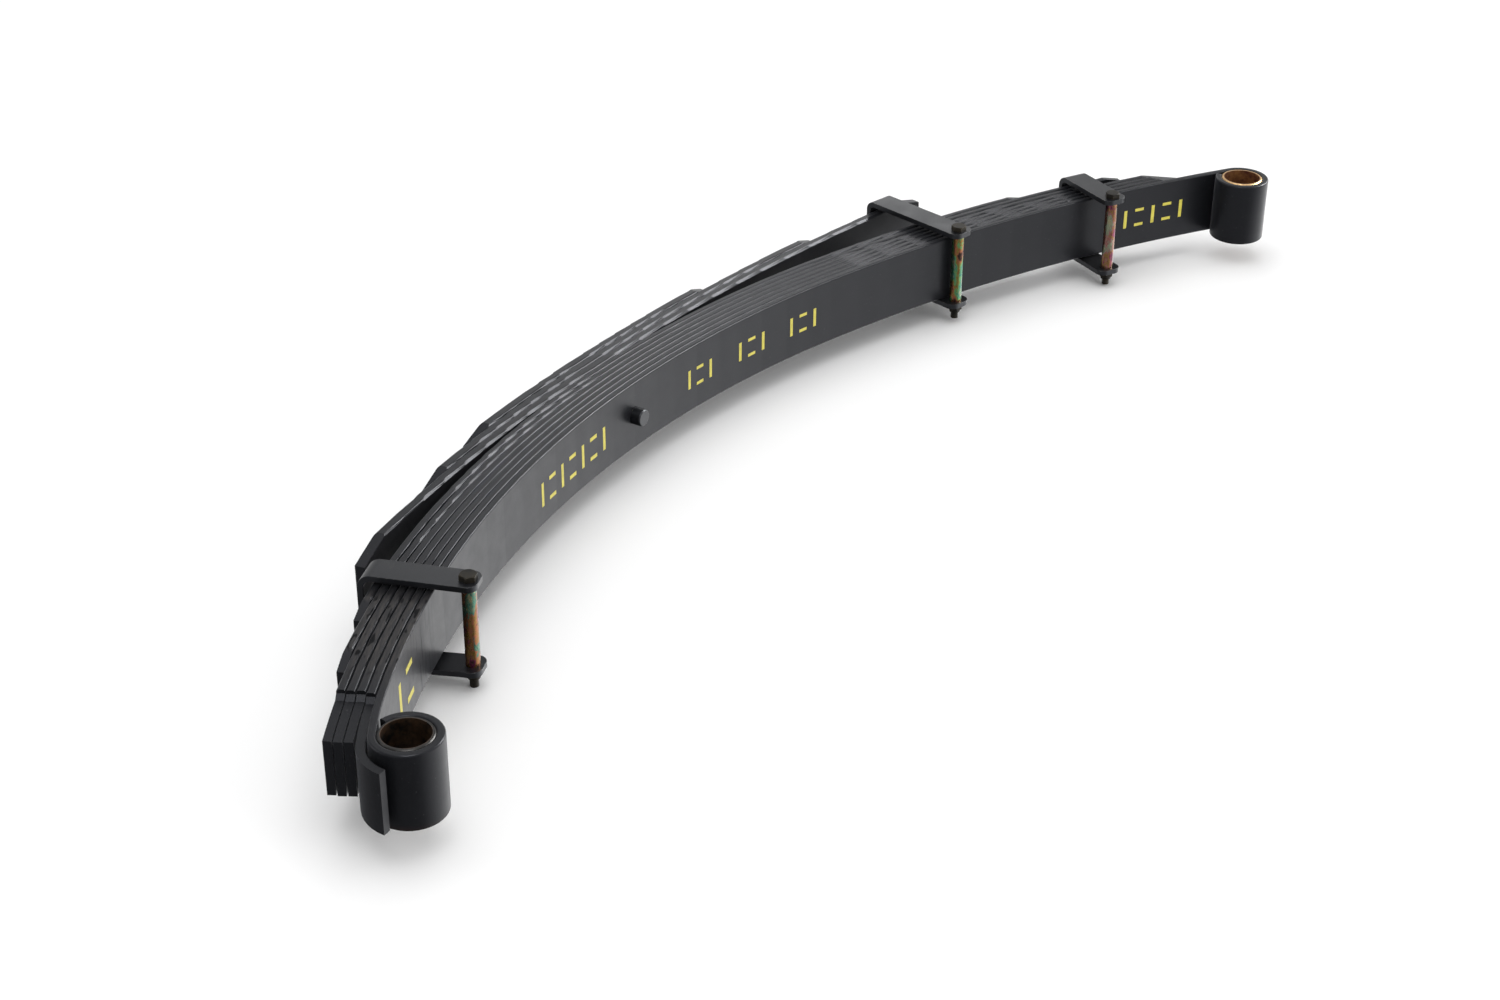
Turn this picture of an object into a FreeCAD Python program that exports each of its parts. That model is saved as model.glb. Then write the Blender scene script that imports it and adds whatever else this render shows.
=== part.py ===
import FreeCAD, Part
import math
import os
import Sketcher
from FreeCAD import Placement, Rotation, Vector

# Two-stage leaf spring, lying on its edge.
# Origin: centre bolt's axis on the main leaf's concave face, at the middle of the leaf width.
# +X runs along the seat to the far (longer) limb, +Y to the convex side, +Z across the leaf width.
# Every leaf is a chain of tangent arcs on each limb, followed outwards from the centre bolt.

SIZES = [
    # first stage: seven leaves of flat bar
    ("leaf_width", 70.0),
    ("leaf_edge_round", 2.0),
    ("leaf_thickness", 7.0),
    ("leaf_pitch", 7.05),
    ("near_radius", 1121.0),
    ("near_radius_step", 15.5),
    ("far_radius", 1139.0),
    ("far_outer_radius", 1652.0),
    ("far_radius_step", 11.4),
    ("far_turn", 15.313),
    # the main leaf's limbs end in eyes, rolled to the concave side
    ("near_turn", 28.305),
    ("near_end_radius", 414.0),
    ("near_end_turn", 6.961),
    ("far_outer_turn", 19.075),
    ("eye_bore_radius", 22.5),
    ("eye_roll", 316.0),
    ("wrap_radius", 38.0),
    ("wrap_turn", 57.0),
    ("wrap_neck_start", 555.0),
    ("wrap_neck_drop", 7.0),
    ("wrap_neck_reach", 228.0),
    # helper stage: three flatter, thicker leaves
    ("helper_thickness", 9.5),
    ("helper_pitch", 9.55),
    ("helper_offset", 49.4),
    ("helper_near_radius", 1957.0),
    ("helper_far_radius", 2400.0),
    # bushes pressed into the eyes
    ("bush_radius", 22.25),
    ("bush_bore_radius", 19.6),
    ("bush_chamfer", 0.8),
    # centre bolt
    ("centre_hole_radius", 6.4),
    ("centre_shank_radius", 6.0),
    ("centre_head_radius", 8.5),
    ("centre_head_height", 11.0),
    ("centre_head_gap", 0.05),
    ("centre_chamfer", 1.0),
    ("centre_nut_flats", 19.0),
    ("centre_nut_height", 10.5),
    ("centre_thread_out", 5.0),
    ("centre_nut_face", 78.05),
    # rebound clips
    ("strap_width", 28.0),
    ("strap_thickness", 5.4),
    ("ear_round", 9.0),
    ("ear_beyond_bolt", 9.8),
    ("ear_flat", 8.0),
    ("sleeve_radius", 6.35),
    ("sleeve_bore", 4.4),
    ("clip_shank_radius", 3.95),
    ("clip_hole_radius", 4.5),
    ("clip_head_flats", 14.0),
    ("clip_nut_flats", 13.2),
    ("clip_head_height", 5.3),
    ("clip_nut_hex_height", 5.2),
    ("clip_nut_collar_height", 2.8),
    ("clip_nut_collar_radius", 5.4),
    ("hex_top_share", 0.95),
    ("rivet_shank_radius", 4.0),
    ("rivet_hole_radius", 4.3),
    ("rivet_head_radius", 7.5),
    ("rivet_head_height", 3.5),
    ("rivet_foot_gap", 0.5),
    ("rivet_shoulder_in", 1.0),
    ("rivet_shoulder_share", 0.6),
    ("rivet_crown_share", 0.95),
    ("thread_clearance", 0.1),
    # trims
    ("trim_margin", 8.0),
    ("scoop_drop", 7.0),
    ("scoop_radius", 5.0),
]

# leaf name: place in its stage, length of near and far limbs along its concave face
FIRST_STAGE = {
    "main_leaf": (0, None, None),
    "wrap_leaf": (1, None, 829.0),
    "leaf_3": (2, 610.0, 828.0),
    "leaf_4": (3, 614.0, 824.0),
    "leaf_5": (4, 617.0, 700.0),
    "leaf_6": (5, 535.0, 753.0),
    "leaf_7": (6, 465.0, 631.0),
}
HELPER_STAGE = {
    "helper_leaf_1": (0, 384.0, 542.0),
    "helper_leaf_2": (1, 259.0, 383.0),
    "helper_leaf_3": (2, 172.0, 218.0),
}

# leaf end: run back from the tip, drop at the tip, whether the run starts with a scoop
TRIMS = {
    ("wrap_leaf", "far"): (60.0, 14.5, False),
    ("leaf_3", "near"): (54.0, 10.0, True),
    ("leaf_3", "far"): (60.0, 14.5, False),
    ("leaf_4", "near"): (54.0, 10.0, True),
    ("leaf_4", "far"): (60.0, 14.5, False),
    ("leaf_5", "near"): (54.0, 10.0, True),
    ("leaf_5", "far"): (24.0, 6.0, False),
    ("leaf_6", "near"): (27.0, 6.0, False),
    ("leaf_6", "far"): (24.0, 6.0, False),
    ("leaf_7", "near"): (27.0, 6.0, False),
    ("leaf_7", "far"): (24.0, 6.0, False),
    ("helper_leaf_1", "near"): (38.0, 12.0, False),
    ("helper_leaf_1", "far"): (24.0, 6.0, False),
    ("helper_leaf_2", "near"): (34.0, 13.0, False),
    ("helper_leaf_2", "far"): (20.0, 6.0, False),
    ("helper_leaf_3", "near"): (32.0, 10.0, False),
    ("helper_leaf_3", "far"): (18.0, 6.0, False),
}

# rebound clips: the limb each is on and the leaf it is riveted to
CLIPS = {
    "near_clip": ("near", "leaf_7"),
    "helper_clip": ("far", "helper_leaf_1"),
    "far_clip": ("far", "leaf_6"),
}
# station: distance from the centre bolt along the main leaf; depth: main leaf's face to the web;
# bolt: main leaf's face to the bolt's axis; upper, lower, root: mid-width to the upper arm,
# to the lower arm at its ear and to the lower arm at the web; bend: inside radius of the corners
CLIP_SIZES = {
    "near_clip": {
        "station": 392.0, "lean": 0.0, "depth": 59.2, "bolt": 27.0,
        "upper": 38.6, "lower": 39.2, "root": 43.2, "bend": 7.0, "thread_out": 8.0,
    },
    "helper_clip": {
        "station": 474.0, "lean": 7.2, "depth": 107.5, "bolt": 8.2,
        "upper": 40.4, "lower": 35.8, "root": 36.8, "bend": 4.0, "thread_out": 7.0,
    },
    "far_clip": {
        "station": 674.5, "lean": 0.0, "depth": 47.4, "bolt": 25.8,
        "upper": 39.6, "lower": 38.6, "root": 38.4, "bend": 6.0, "thread_out": 6.5,
    },
}

SIDE = {"near": -1, "far": 1}
TOLERANCE = 1e-3

doc = FreeCAD.newDocument("leaf_spring")
sheet = doc.addObject("Spreadsheet::Sheet", "Sizes")


def put(alias, value):
    """Write one driving size into the next row of the sheet."""
    put.row += 1
    sheet.set("A%d" % put.row, alias)
    sheet.set("B%d" % put.row, str(value))
    sheet.setAlias("B%d" % put.row, alias)


put.row = 0
for alias, value in SIZES:
    put(alias, value)
for leaf, (place, near, far) in list(FIRST_STAGE.items()) + list(HELPER_STAGE.items()):
    if near:
        put(leaf + "_near", near)
    if far:
        put(leaf + "_far", far)
for (leaf, limb), (run, drop, scooped) in TRIMS.items():
    put("%s_%s_run" % (leaf, limb), run)
    put("%s_%s_drop" % (leaf, limb), drop)
for clip, sizes in CLIP_SIZES.items():
    for size, value in sizes.items():
        put("%s_%s" % (clip, size), value)
doc.recompute()


def number(formula):
    """The value of a formula of the sheet's aliases."""
    result = sheet.evalExpression(formula)
    return float(getattr(result, "Value", result))


def new_body(label):
    body = doc.addObject("PartDesign::Body", label)
    body.Label = label
    return body


def new_sketch(body, role, name):
    plane = [f for f in body.Origin.OriginFeatures if f.Role == role][0]
    sketch = body.newObject("Sketcher::SketchObject", name)
    sketch.AttachmentSupport = [(plane, "")]
    sketch.MapMode = "FlatFace"
    return sketch


def bind(sketch, constraint, formula):
    """Add a dimension and tie it to its formula."""
    index = sketch.addConstraint(constraint)
    sketch.setExpression("Constraints[%d]" % index, formula)


def bind_point(sketch, geo, pos, across, up):
    """Place a sketch point at two formulas, measured from the sketch's origin."""
    for kind, formula in (("DistanceX", across), ("DistanceY", up)):
        value = number(formula)
        if abs(value) < TOLERANCE:
            axis = -2 if kind == "DistanceX" else -1
            sketch.addConstraint(Sketcher.Constraint("PointOnObject", geo, pos, axis))
        elif value > 0:
            bind(sketch, Sketcher.Constraint(kind, -1, 1, geo, pos, value), formula)
        else:
            bind(sketch, Sketcher.Constraint(kind, geo, pos, -1, 1, -value), "-(%s)" % formula)


def bound_polygon(sketch, corners):
    """Closed outline of straight sides whose corners are pairs of formulas."""
    spots = [Vector(number(across), number(up), 0) for across, up in corners]
    lines = []
    for i, spot in enumerate(spots):
        after = spots[(i + 1) % len(spots)]
        lines.append(sketch.addGeometry(Part.LineSegment(spot, after), False))
    for i, line in enumerate(lines):
        after = lines[(i + 1) % len(lines)]
        sketch.addConstraint(Sketcher.Constraint("Coincident", line, 2, after, 1))
    for line, (across, up) in zip(lines, corners):
        bind_point(sketch, line, 1, across, up)
    return lines


def pad_both_ways(body, sketch, formula, name):
    pad = body.newObject("PartDesign::Pad", name)
    pad.Profile = sketch
    pad.SideType = "Symmetric"
    pad.setExpression("Length", formula)
    doc.recompute()
    return pad


def cut_through(body, sketch, name):
    """Pocket through everything, both ways from the sketch, that must remove material."""
    before = body.Shape.Volume
    pocket = body.newObject("PartDesign::Pocket", name)
    pocket.Profile = sketch
    pocket.SideType = "Symmetric"
    pocket.Type = "ThroughAll"
    doc.recompute()
    if not body.Shape.Volume < before - 1.0:
        raise RuntimeError(name + " removes nothing")
    return pocket


# ---- leaves ----

def limb_arcs(leaf, limb):
    """Radius and turn formulas of a limb's arcs on its concave face, from the bolt outwards."""
    if leaf in HELPER_STAGE:
        place = HELPER_STAGE[leaf][0]
        radius = "Sizes.helper_%s_radius + %d * Sizes.helper_pitch" % (limb, place)
        turn = "Sizes.%s_%s / (%s) * 180 / pi" % (leaf, limb, radius)
        return [(radius, turn)]
    place = FIRST_STAGE[leaf][0]
    step = "%d * Sizes.%s_radius_step" % (place, limb)
    inner = "Sizes.%s_radius + %s" % (limb, step)
    eye = ("Sizes.eye_bore_radius", "Sizes.eye_roll")
    if limb == "near" and place <= 1:
        bend = ("Sizes.near_end_radius + %d * Sizes.leaf_pitch" % place, "Sizes.near_end_turn")
        last = eye if place == 0 else ("Sizes.wrap_radius", "Sizes.wrap_turn")
        return [(inner, "Sizes.near_turn"), bend, last]
    if limb == "near":
        return [(inner, "Sizes.%s_near / (%s) * 180 / pi" % (leaf, inner))]
    outer = "Sizes.far_outer_radius + %s" % step
    if place == 0:
        return [(inner, "Sizes.far_turn"), (outer, "Sizes.far_outer_turn"), eye]
    rest = "Sizes.%s_far - Sizes.far_turn * pi / 180 * (%s)" % (leaf, inner)
    return [(inner, "Sizes.far_turn"), (outer, "(%s) / (%s) * 180 / pi" % (rest, outer))]


def seat_offset(leaf):
    if leaf in HELPER_STAGE:
        return "Sizes.helper_offset + %d * Sizes.helper_pitch" % HELPER_STAGE[leaf][0]
    return "%d * Sizes.leaf_pitch" % FIRST_STAGE[leaf][0]


def thickness(leaf):
    return "Sizes.helper_thickness" if leaf in HELPER_STAGE else "Sizes.leaf_thickness"


def walk(leaf, limb, distance=None):
    """Point and turn (radians) where a limb's concave face ends, or after a distance along it."""
    height = number(seat_offset(leaf))
    point = Vector(0, height, 0)
    turned = 0.0
    left = distance
    for radius_formula, turn_formula in limb_arcs(leaf, limb):
        radius = number(radius_formula)
        turn = math.radians(number(turn_formula))
        if left is not None:
            turn = min(turn, left / radius)
            left -= turn * radius
        centre = point - Vector(math.sin(turned), math.cos(turned), 0) * radius
        turned += turn
        point = centre + Vector(math.sin(turned), math.cos(turned), 0) * radius
    return Vector(SIDE[limb] * point.x, point.y, 0), turned


def draw_limb(sketch, leaf, limb):
    """Both faces of one limb; returns the arcs on the concave and convex face."""
    point = Vector(0, number(seat_offset(leaf)), 0)
    thick = number(thickness(leaf))
    turned = 0.0
    concave = []
    convex = []
    for radius_formula, turn_formula in limb_arcs(leaf, limb):
        radius = number(radius_formula)
        turn = math.radians(number(turn_formula))
        centre = point - Vector(math.sin(turned), math.cos(turned), 0) * radius
        first = math.pi / 2 - turned - turn
        last = math.pi / 2 - turned
        if limb == "near":
            first, last = math.pi - last, math.pi - first
        middle = Vector(SIDE[limb] * centre.x, centre.y, 0)
        for faces, size in ((concave, radius), (convex, radius + thick)):
            circle = Part.Circle(middle, Vector(0, 0, 1), size)
            faces.append(sketch.addGeometry(Part.ArcOfCircle(circle, first, last), False))
        turned += turn
        point = centre + Vector(math.sin(turned), math.cos(turned), 0) * radius
    inner_end, outer_end = (1, 2) if limb == "near" else (2, 1)
    for i, (radius_formula, turn_formula) in enumerate(limb_arcs(leaf, limb)):
        turn = math.radians(number(turn_formula))
        sketch.addConstraint(Sketcher.Constraint("Coincident", convex[i], 3, concave[i], 3))
        if i == 0:
            sketch.addConstraint(Sketcher.Constraint("PointOnObject", concave[i], 3, -2))
        else:
            link = Sketcher.Constraint(
                "Tangent", concave[i - 1], outer_end, concave[i], inner_end
            )
            sketch.addConstraint(link)
            sketch.addConstraint(
                Sketcher.Constraint("Coincident", convex[i - 1], outer_end, convex[i], inner_end)
            )
        radius = Sketcher.Constraint("Radius", concave[i], number(radius_formula))
        bind(sketch, radius, radius_formula)
        for arc in (concave[i], convex[i]):
            bind(sketch, Sketcher.Constraint("Angle", arc, turn), turn_formula)
    return concave, convex


def close_limb(sketch, concave, convex, limb):
    """Square end across the thickness."""
    outer_end = 2 if limb == "near" else 1
    ends = []
    for arc in (concave[-1], convex[-1]):
        ends.append(sketch.getPoint(arc, outer_end))
    line = sketch.addGeometry(Part.LineSegment(ends[0], ends[1]), False)
    sketch.addConstraint(Sketcher.Constraint("Coincident", line, 1, concave[-1], outer_end))
    sketch.addConstraint(Sketcher.Constraint("Coincident", line, 2, convex[-1], outer_end))


def round_long_edges(body, pad):
    """Rolled bar has rounded edges: every arc edge on the two side faces."""
    names = []
    for i, edge in enumerate(pad.Shape.Edges):
        if isinstance(edge.Curve, Part.Circle) and edge.BoundBox.ZLength < TOLERANCE:
            names.append("Edge%d" % (i + 1))
    fillet = body.newObject("PartDesign::Fillet", "rounded_edges")
    fillet.Base = (pad, names)
    fillet.setExpression("Radius", "Sizes.leaf_edge_round")
    doc.recompute()


def drill(body, radius_formula, name, frame=Placement()):
    """Round hole at mid-width, square to an upright frame that is given in plan."""
    sketch = new_sketch(body, "XZ_Plane", name + "_sketch")
    sketch.AttachmentOffset = frame
    circle = Part.Circle(Vector(), Vector(0, 0, 1), number(radius_formula))
    geo = sketch.addGeometry(circle, False)
    sketch.addConstraint(Sketcher.Constraint("Coincident", geo, 3, -1, 1))
    bind(sketch, Sketcher.Constraint("Radius", geo, number(radius_formula)), radius_formula)
    doc.recompute()
    cut_through(body, sketch, name)


def upright_frame(point, angle):
    """Offset of an XZ sketch so that it stands at a plan point, turned about Z by an angle."""
    return Placement(Vector(point.x, 0, -point.y), Rotation(Vector(0, 1, 0), math.degrees(angle)))


def trim_end(body, leaf, limb):
    """Cut both corners of a leaf's end; across is measured back from the tip."""
    scooped = TRIMS[(leaf, limb)][2]
    tip, turned = walk(leaf, limb)
    angle = turned if limb == "near" else math.pi - turned
    sketch = new_sketch(body, "XZ_Plane", "%s_trim_sketch" % limb)
    sketch.AttachmentOffset = upright_frame(tip, angle)
    run = "Sizes.%s_%s_run" % (leaf, limb)
    drop = "Sizes.%s_%s_drop" % (leaf, limb)
    half = "Sizes.leaf_width / 2"
    for sign in ("1", "-1"):
        corners = [
            (run, "%s * (%s)" % (sign, half)),
            ("0", "%s * (%s - %s)" % (sign, half, drop)),
            ("-Sizes.trim_margin", "%s * (%s - %s)" % (sign, half, drop)),
            ("-Sizes.trim_margin", "%s * (%s + Sizes.trim_margin)" % (sign, half)),
            (run, "%s * (%s + Sizes.trim_margin)" % (sign, half)),
        ]
        if scooped:
            corners.insert(1, (run, "%s * (%s - Sizes.scoop_drop / 2)" % (sign, half)))
            corners.insert(
                2,
                (run + " - Sizes.scoop_radius", "%s * (%s - Sizes.scoop_drop)" % (sign, half)),
            )
        bound_polygon(sketch, corners)
    doc.recompute()
    cut_through(body, sketch, "%s_trim" % limb)


def neck_wrap(body):
    """The wrap leaf is narrower from just before the eye to its tip."""
    start, turned = walk("wrap_leaf", "near", number("Sizes.wrap_neck_start"))
    sketch = new_sketch(body, "XZ_Plane", "neck_sketch")
    sketch.AttachmentOffset = upright_frame(start, turned)
    half = "Sizes.leaf_width / 2"
    reach = "-Sizes.wrap_neck_reach"
    for sign in ("1", "-1"):
        corners = [
            ("0", "%s * (%s + Sizes.trim_margin)" % (sign, half)),
            ("0", "%s * (%s - Sizes.wrap_neck_drop / 2)" % (sign, half)),
            ("-Sizes.scoop_radius", "%s * (%s - Sizes.wrap_neck_drop)" % (sign, half)),
            (reach, "%s * (%s - Sizes.wrap_neck_drop)" % (sign, half)),
            (reach, "%s * (%s + Sizes.trim_margin)" % (sign, half)),
        ]
        bound_polygon(sketch, corners)
    doc.recompute()
    cut_through(body, sketch, "neck")


def clip_place(clip):
    """Point on the main leaf's concave face and angle (radians) at which a clip sits."""
    limb = CLIPS[clip][0]
    point, turned = walk("main_leaf", limb, number("Sizes.%s_station" % clip))
    return point, math.radians(number("Sizes.%s_lean" % clip)) - SIDE[limb] * turned


def clip_frame(clip):
    """Placement of a clip: X along the leaves, Y to the convex side, on the main leaf's face."""
    point, angle = clip_place(clip)
    return Placement(point, Rotation(Vector(0, 0, 1), math.degrees(angle)))


def make_leaf(leaf):
    body = new_body(leaf)
    sketch = new_sketch(body, "XY_Plane", "outline")
    near_concave, near_convex = draw_limb(sketch, leaf, "near")
    far_concave, far_convex = draw_limb(sketch, leaf, "far")
    for near, far in ((near_concave, far_concave), (near_convex, far_convex)):
        sketch.addConstraint(Sketcher.Constraint("Coincident", near[0], 1, far[0], 2))
        sketch.addConstraint(Sketcher.Constraint("PointOnObject", near[0], 1, -2))
    offset = seat_offset(leaf)
    if number(offset) > 0:
        height = Sketcher.Constraint("DistanceY", -1, 1, near_concave[0], 1, number(offset))
        bind(sketch, height, offset)
    else:
        sketch.addConstraint(Sketcher.Constraint("PointOnObject", near_concave[0], 1, -1))
    thick = thickness(leaf)
    size = Sketcher.Constraint(
        "DistanceY", near_concave[0], 1, near_convex[0], 1, number(thick)
    )
    bind(sketch, size, thick)
    close_limb(sketch, near_concave, near_convex, "near")
    close_limb(sketch, far_concave, far_convex, "far")
    doc.recompute()
    pad = pad_both_ways(body, sketch, "Sizes.leaf_width", "bar")
    round_long_edges(body, pad)
    drill(body, "Sizes.centre_hole_radius", "centre_hole")
    for limb in ("near", "far"):
        if (leaf, limb) in TRIMS:
            trim_end(body, leaf, limb)
    if leaf == "wrap_leaf":
        neck_wrap(body)
    for clip, (limb, held) in CLIPS.items():
        if held == leaf:
            drill(body, "Sizes.rivet_hole_radius", "rivet_hole", upright_frame(*clip_place(clip)))
    return body


# ---- turned pieces ----

def turned_body(label, role, corners):
    """Solid of revolution about the sketch's vertical axis; corners are (radius, height)."""
    body = new_body(label)
    sketch = new_sketch(body, role, "half_section")
    bound_polygon(sketch, corners)
    doc.recompute()
    spin = body.newObject("PartDesign::Revolution", "turning")
    spin.Profile = sketch
    spin.ReferenceAxis = (sketch, ["V_Axis"])
    spin.Angle = 360
    doc.recompute()
    return body


def make_bush(label, limb):
    half = "Sizes.leaf_width / 2"
    body = turned_body(label, "XZ_Plane", [
        ("Sizes.bush_bore_radius", "-(%s)" % half),
        ("Sizes.bush_radius - Sizes.bush_chamfer", "-(%s)" % half),
        ("Sizes.bush_radius", "-(%s) + Sizes.bush_chamfer" % half),
        ("Sizes.bush_radius", "%s - Sizes.bush_chamfer" % half),
        ("Sizes.bush_radius - Sizes.bush_chamfer", half),
        ("Sizes.bush_bore_radius", half),
    ])
    body.Placement = Placement(eye_centre(limb), Rotation())
    return body


def eye_centre(limb):
    """Centre of the eye that ends the main leaf's limb."""
    arcs = limb_arcs("main_leaf", limb)
    length = sum(number(radius) * math.radians(number(turn)) for radius, turn in arcs[:-1])
    foot, turned = walk("main_leaf", limb, length)
    inward = Vector(-SIDE[limb] * math.sin(turned), -math.cos(turned), 0)
    return foot + inward * number("Sizes.eye_bore_radius")


def make_centre_bolt():
    head = "-Sizes.centre_head_height"
    end = "Sizes.centre_nut_face + Sizes.centre_nut_height + Sizes.centre_thread_out"
    return turned_body("centre_bolt", "XY_Plane", [
        ("0", head),
        ("Sizes.centre_head_radius - Sizes.centre_chamfer", head),
        ("Sizes.centre_head_radius", head + " + Sizes.centre_chamfer"),
        ("Sizes.centre_head_radius", "-Sizes.centre_head_gap"),
        ("Sizes.centre_shank_radius", "-Sizes.centre_head_gap"),
        ("Sizes.centre_shank_radius", end + " - Sizes.centre_chamfer"),
        ("Sizes.centre_shank_radius - Sizes.centre_chamfer", end),
        ("0", end),
    ])


def make_rivet(clip):
    """Rivet through the strap's web and the leaf that carries the clip."""
    held = CLIPS[clip][1]
    web = "Sizes.%s_depth" % clip
    outside = "%s + Sizes.strap_thickness" % web
    foot = "%s - %s + Sizes.rivet_foot_gap" % (web, thickness(held))
    body = turned_body(clip + "_rivet", "XY_Plane", [
        ("0", foot),
        ("Sizes.rivet_shank_radius", foot),
        ("Sizes.rivet_shank_radius", outside),
        ("Sizes.rivet_head_radius", outside),
        (
            "Sizes.rivet_head_radius - Sizes.rivet_shoulder_in",
            "%s + Sizes.rivet_head_height * Sizes.rivet_shoulder_share" % outside,
        ),
        (
            "Sizes.rivet_head_radius / 2",
            "%s + Sizes.rivet_head_height * Sizes.rivet_crown_share" % outside,
        ),
        ("0", "%s + Sizes.rivet_head_height" % outside),
    ])
    body.Placement = clip_frame(clip)
    return body


def make_sleeve(clip):
    """Spacer tube that keeps the ears apart."""
    upper = "Sizes.%s_upper" % clip
    lower = "-Sizes.%s_lower" % clip
    body = turned_body(clip + "_sleeve", "XZ_Plane", [
        ("Sizes.sleeve_bore", lower),
        ("Sizes.sleeve_radius", lower),
        ("Sizes.sleeve_radius", upper),
        ("Sizes.sleeve_bore", upper),
    ])
    body.Placement = clip_bolt_frame(clip)
    return body


# ---- clips ----

def clip_bolt_frame(clip):
    shift = Vector(0, -number("Sizes.%s_bolt" % clip), 0)
    return clip_frame(clip).multiply(Placement(shift, Rotation()))


def make_strap(clip):
    """Flat bar bent to a U: web outside the leaves, ears past the main leaf."""
    body = new_body(clip + "_strap")
    sketch = new_sketch(body, "YZ_Plane", "bent_bar")
    web = "Sizes.%s_depth" % clip
    ear = "-(Sizes.%s_bolt + Sizes.ear_beyond_bolt)" % clip
    upper = "Sizes.%s_upper" % clip
    lower = "-Sizes.%s_lower" % clip
    root = "-Sizes.%s_root" % clip
    flat_end = "Sizes.ear_flat - Sizes.%s_bolt" % clip
    thick = "Sizes.strap_thickness"
    bound_polygon(sketch, [
        (ear, upper),
        (web, upper),
        (web, root),
        (flat_end, lower),
        (ear, lower),
        (ear, "%s - %s" % (lower, thick)),
        (flat_end, "%s - %s" % (lower, thick)),
        ("%s + %s" % (web, thick), "%s - %s" % (root, thick)),
        ("%s + %s" % (web, thick), "%s + %s" % (upper, thick)),
        (ear, "%s + %s" % (upper, thick)),
    ])
    doc.recompute()
    pad = pad_both_ways(body, sketch, "Sizes.strap_width", "bar")
    bends = {"inner_bend": number(web), "outer_bend": number(web) + number(thick)}
    base = pad
    for name, reach in bends.items():
        edges = []
        for i, edge in enumerate(base.Shape.Edges):
            box = edge.BoundBox
            on_corner = abs(box.YMin - reach) < TOLERANCE and box.YLength < TOLERANCE
            if box.XLength > 1 and on_corner:
                edges.append("Edge%d" % (i + 1))
        fillet = body.newObject("PartDesign::Fillet", name)
        fillet.Base = (base, edges)
        extra = "" if name == "inner_bend" else " + Sizes.strap_thickness"
        fillet.setExpression("Radius", "Sizes.%s_bend" % clip + extra)
        doc.recompute()
        base = fillet
    tips = []
    for i, edge in enumerate(base.Shape.Edges):
        box = edge.BoundBox
        at_tip = abs(box.YMax - number(ear)) < TOLERANCE
        if at_tip and box.ZLength > 1 and box.XLength < TOLERANCE:
            tips.append("Edge%d" % (i + 1))
    rounding = body.newObject("PartDesign::Fillet", "ear_corners")
    rounding.Base = (base, tips)
    rounding.setExpression("Radius", "Sizes.ear_round")
    doc.recompute()
    ears = new_sketch(body, "XY_Plane", "bolt_hole_sketch")
    place = Vector(0, -number("Sizes.%s_bolt" % clip), 0)
    radius = number("Sizes.clip_hole_radius")
    hole = ears.addGeometry(Part.Circle(place, Vector(0, 0, 1), radius), False)
    bind(ears, Sketcher.Constraint("Radius", hole, radius), "Sizes.clip_hole_radius")
    bind_point(ears, hole, 3, "0", "-Sizes.%s_bolt" % clip)
    doc.recompute()
    cut_through(body, ears, "bolt_holes")
    rivet = new_sketch(body, "XZ_Plane", "rivet_hole_sketch")
    radius = number("Sizes.rivet_hole_radius")
    hole = rivet.addGeometry(Part.Circle(Vector(), Vector(0, 0, 1), radius), False)
    rivet.addConstraint(Sketcher.Constraint("Coincident", hole, 3, -1, 1))
    bind(rivet, Sketcher.Constraint("Radius", hole, radius), "Sizes.rivet_hole_radius")
    doc.recompute()
    cut_through(body, rivet, "rivet_hole")
    body.Placement = clip_frame(clip)
    return body


def cylinder(name, radius, height, base="0"):
    tool = doc.addObject("Part::Cylinder", name)
    tool.setExpression("Radius", radius)
    tool.setExpression("Height", height)
    tool.setExpression("Placement.Base.z", base)
    return tool


def cone(name, bottom, top, height, base="0"):
    tool = doc.addObject("Part::Cone", name)
    tool.setExpression("Radius1", bottom)
    tool.setExpression("Radius2", top)
    tool.setExpression("Height", height)
    tool.setExpression("Placement.Base.z", base)
    return tool


def joined(name, tools):
    solid = doc.addObject("Part::MultiFuse", name)
    solid.Shapes = tools
    return solid


def cut(name, base, tool):
    solid = doc.addObject("Part::Cut", name)
    solid.Base = base
    solid.Tool = tool
    return solid


def hexagon(name, flats, height):
    """Hexagon from z = 0 upwards with the top corners turned off at 30 degrees."""
    prism = doc.addObject("Part::Prism", name + "_prism")
    prism.Polygon = 6
    prism.setExpression("Circumradius", "%s / sqrt(3)" % flats)
    prism.setExpression("Height", height)
    top = "Sizes.hex_top_share * %s / 2" % flats
    turning = cone(name + "_turning", "%s + sqrt(3) * %s" % (top, height), top, height)
    solid = doc.addObject("Part::Common", name)
    solid.Base = prism
    solid.Tool = turning
    return solid


def make_clip_bolt(clip):
    """Hex bolt from the top ear: its head stands on z = 0 of its own frame."""
    length = (
        "Sizes.{0}_upper + Sizes.{0}_lower + 2 * Sizes.strap_thickness"
        " + Sizes.clip_nut_hex_height + Sizes.clip_nut_collar_height + Sizes.{0}_thread_out"
    ).format(clip)
    head = hexagon(clip + "_bolt_head", "Sizes.clip_head_flats", "Sizes.clip_head_height")
    shank = cylinder(clip + "_bolt_shank", "Sizes.clip_shank_radius", length, "-(%s)" % length)
    bolt = joined(clip + "_bolt", [head, shank])
    bolt.Label = clip + "_bolt"
    above = Vector(0, 0, number("Sizes.%s_upper + Sizes.strap_thickness" % clip))
    bolt.Placement = clip_bolt_frame(clip).multiply(Placement(above, Rotation()))
    return bolt


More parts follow.
